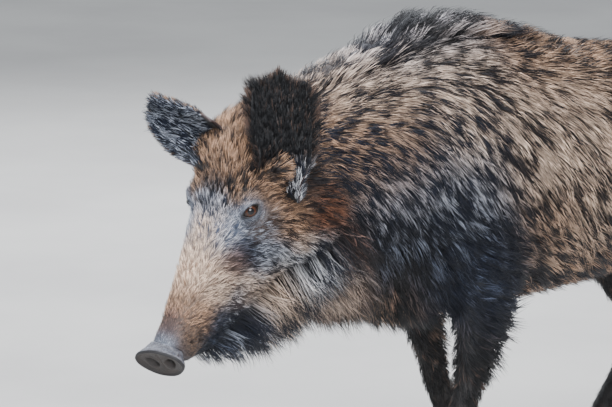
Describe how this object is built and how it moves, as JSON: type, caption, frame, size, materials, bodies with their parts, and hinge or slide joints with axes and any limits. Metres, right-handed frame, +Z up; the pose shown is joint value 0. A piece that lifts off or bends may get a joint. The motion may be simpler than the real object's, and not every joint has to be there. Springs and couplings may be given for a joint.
{
  "type": "wild boar model",
  "caption": "Life-size still model of an adult wild boar walking slowly with its head lowered, standing on its own hooves.",
  "frame": {"origin": "on the floor, under the middle of the boar's bounding box", "axes": "+Z up; the boar faces -Y, and its left side is +X"},
  "size_m": [0.36, 1.4008, 0.8509],
  "materials": {
    "coat": "coarse grizzled bristles, pale at the tips",
    "coat_face": "short flecked hair, pale on the bridge of the nose",
    "coat_dark": "blue-black hair on the legs, ears and tail",
    "nose_leather": "bare, slightly moist skin",
    "horn": "worn dark horn",
    "eye": "polished glass eye with an amber-brown iris"
  },
  "bodies": {
    "root": {"trunk": "coat", "neck": "coat", "head": "coat_face", "lower_jaw": "coat_face", "tail": "coat_dark", "foreleg_left": "coat_dark", "foreleg_right": "coat_dark", "forefoot_left": "coat_dark", "forefoot_right": "coat_dark", "hindleg_left": "coat_dark", "hindleg_right": "coat_dark", "hindfoot_left": "coat_dark", "hindfoot_right": "coat_dark", "ear_left": "coat_dark", "ear_right": "coat_dark", "nose_disc": "nose_leather", "eye_left": "eye", "eye_right": "eye", "hoof_fore_left_inner": "horn", "dewclaw_fore_left_inner": "horn", "hoof_fore_left_outer": "horn", "dewclaw_fore_left_outer": "horn", "hoof_fore_right_inner": "horn", "dewclaw_fore_right_inner": "horn", "hoof_fore_right_outer": "horn", "dewclaw_fore_right_outer": "horn", "hoof_hind_left_inner": "horn", "dewclaw_hind_left_inner": "horn", "hoof_hind_left_outer": "horn", "dewclaw_hind_left_outer": "horn", "hoof_hind_right_inner": "horn", "dewclaw_hind_right_inner": "horn", "hoof_hind_right_outer": "horn", "dewclaw_hind_right_outer": "horn"}
  },
  "joints": []
}
